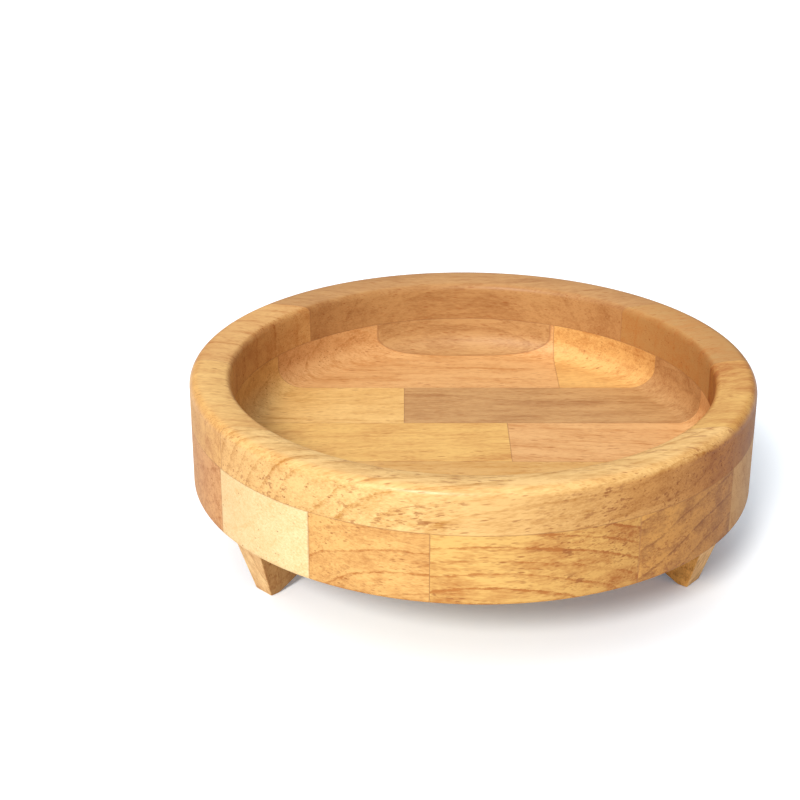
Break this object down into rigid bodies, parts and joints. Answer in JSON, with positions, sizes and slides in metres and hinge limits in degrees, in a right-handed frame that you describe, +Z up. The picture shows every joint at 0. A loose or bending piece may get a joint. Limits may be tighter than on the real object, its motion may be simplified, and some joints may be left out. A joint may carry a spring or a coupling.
{
  "type": "footed wooden serving dish",
  "caption": "Round shallow serving dish with a flat-bottomed bowl and a broad rounded rim, turned from edge-glued wood and raised on tapered fin-shaped feet.",
  "frame": {"origin": "on the floor plane under the dish's turning axis, midway between the extents", "axes": "+Z up along the turning axis; +X to the right along the grain; -Y towards the front, between the two front feet"},
  "size_m": [0.145, 0.145, 0.05],
  "materials": {
    "base_stave_1_left": "satin oiled",
    "base_stave_1_right": "satin oiled",
    "base_stave_2_left": "satin oiled",
    "base_stave_2_right": "satin oiled",
    "base_stave_3_left": "satin oiled",
    "base_stave_3_right": "satin oiled",
    "base_stave_4_left": "satin oiled",
    "base_stave_4_right": "satin oiled",
    "base_stave_5_left": "satin oiled",
    "base_stave_5_right": "satin oiled",
    "base_stave_6_left": "satin oiled",
    "base_stave_6_right": "satin oiled",
    "base_stave_7": "satin oiled",
    "rim_segment_1": "satin oiled",
    "rim_segment_2_left": "satin oiled",
    "rim_segment_2_right": "satin oiled",
    "rim_segment_3_left": "satin oiled",
    "rim_segment_3_right": "satin oiled",
    "rim_segment_4": "satin oiled",
    "foot_left": "satin oiled",
    "foot_right": "satin oiled",
    "foot_back": "satin oiled",
    "foot_dowel_left_outer": "satin oiled",
    "foot_dowel_left_inner": "satin oiled",
    "foot_dowel_right_outer": "satin oiled",
    "foot_dowel_right_inner": "satin oiled",
    "foot_dowel_back_outer": "satin oiled",
    "foot_dowel_back_inner": "satin oiled"
  },
  "bodies": {
    "root": {"base_stave_1_left": "base_stave_1_left", "base_stave_1_right": "base_stave_1_right", "base_stave_2_left": "base_stave_2_left", "base_stave_2_right": "base_stave_2_right", "base_stave_3_left": "base_stave_3_left", "base_stave_3_right": "base_stave_3_right", "base_stave_4_left": "base_stave_4_left", "base_stave_4_right": "base_stave_4_right", "base_stave_5_left": "base_stave_5_left", "base_stave_5_right": "base_stave_5_right", "base_stave_6_left": "base_stave_6_left", "base_stave_6_right": "base_stave_6_right", "base_stave_7": "base_stave_7", "rim_segment_1": "rim_segment_1", "rim_segment_2_left": "rim_segment_2_left", "rim_segment_2_right": "rim_segment_2_right", "rim_segment_3_left": "rim_segment_3_left", "rim_segment_3_right": "rim_segment_3_right", "rim_segment_4": "rim_segment_4", "foot_left": "foot_left", "foot_right": "foot_right", "foot_back": "foot_back", "foot_dowel_left_outer": "foot_dowel_left_outer", "foot_dowel_left_inner": "foot_dowel_left_inner", "foot_dowel_right_outer": "foot_dowel_right_outer", "foot_dowel_right_inner": "foot_dowel_right_inner", "foot_dowel_back_outer": "foot_dowel_back_outer", "foot_dowel_back_inner": "foot_dowel_back_inner"}
  },
  "joints": []
}
